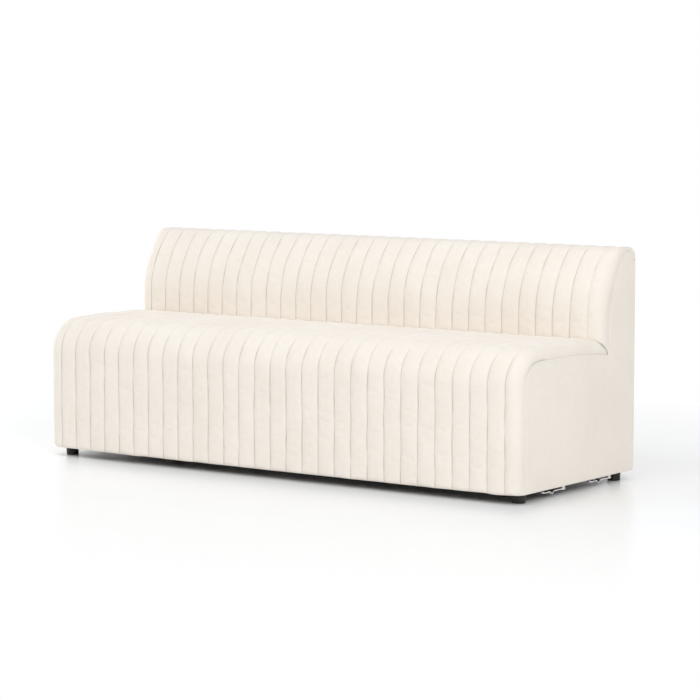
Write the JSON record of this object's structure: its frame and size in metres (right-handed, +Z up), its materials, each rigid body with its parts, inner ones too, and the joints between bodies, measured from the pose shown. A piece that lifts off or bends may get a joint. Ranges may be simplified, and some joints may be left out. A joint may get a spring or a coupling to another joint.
{
  "type": "dining bench",
  "caption": "Armless upholstered dining bench with a low back, channel-tufted in cream fabric, on four short black feet, with steel linking arms under one end.",
  "frame": {"origin": "on the floor under the middle of the bench's overall box", "axes": "+X to the right seen from the front, +Y towards the back of the bench, +Z up; the sitter faces -Y"},
  "size_m": [1.93, 0.72, 0.77],
  "materials": {
    "cover_fabric": "cream fabric with a short soft pile, quilted over wadding and sewn into channels",
    "dust_fabric": "thin black spunbond cloth",
    "web_elastic": "black woven elastic webbing",
    "felt": "grey needled felt",
    "foam": null,
    "softwood": "planed softwood",
    "plywood": "plywood",
    "fibreboard": "brown hardboard",
    "foot_plastic": "black moulded plastic, satin",
    "bright_steel": "bright zinc plated strip, plates and rivets",
    "spring_steel": "drawn spring wire and stamped clips",
    "fastener_steel": "zinc plated screws, studs and nuts"
  },
  "bodies": {
    "bench": {"base_front_rail": "softwood", "base_rear_rail": "softwood", "base_left_rail": "softwood", "base_right_rail": "softwood", "base_cross_rail_left": "softwood", "base_cross_rail_right": "softwood", "corner_block_front_left": "softwood", "corner_block_front_right": "softwood", "corner_block_rear_left": "softwood", "corner_block_rear_right": "softwood", "front_board": "fibreboard", "left_end_panel": "plywood", "right_end_panel": "plywood", "left_rib": "plywood", "right_rib": "plywood", "seat_front_rail": "softwood", "seat_rear_rail": "softwood", "seat_springs": "spring_steel", "spring_clips": "spring_steel", "deck_felt": "felt", "seat_foam": "foam", "seat_cover": "cover_fabric", "back_post_left": "softwood", "back_post_mid_left": "softwood", "back_post_mid_right": "softwood", "back_post_right": "softwood", "back_top_rail": "softwood", "back_lower_rail": "softwood", "back_webbing": "web_elastic", "back_foam": "foam", "back_cover": "cover_fabric", "rear_board": "fibreboard", "rear_cover": "cover_fabric", "left_side_cover": "cover_fabric", "right_side_cover": "cover_fabric", "dust_cover": "dust_fabric", "foot_front_left": "foot_plastic", "foot_front_right": "foot_plastic", "foot_rear_left": "foot_plastic", "foot_rear_right": "foot_plastic", "foot_studs": "fastener_steel", "foot_insert_nuts": "fastener_steel", "panel_screws": "fastener_steel", "hook_plate_front": "bright_steel", "hook_plate_rear": "bright_steel", "hook_spacers": "bright_steel", "hook_rivets": "bright_steel", "catch_plate_front": "bright_steel", "catch_plate_rear": "bright_steel", "catch_studs": "bright_steel", "catch_blocks": "softwood", "plate_screws": "fastener_steel"},
    "front_arm": {"hook_arm_front": "bright_steel"},
    "rear_arm": {"hook_arm_rear": "bright_steel"}
  },
  "joints": [
    {"name": "front_arm_pivot", "type": "hinge", "parent": "bench", "child": "front_arm", "pos_m": [0.944, -0.058, 0.02], "axis": [0, 0, 1], "range_deg": [0, 90]},
    {"name": "rear_arm_pivot", "type": "hinge", "parent": "bench", "child": "rear_arm", "pos_m": [0.944, 0.228, 0.02], "axis": [0, 0, 1], "range_deg": [0, 90]}
  ]
}
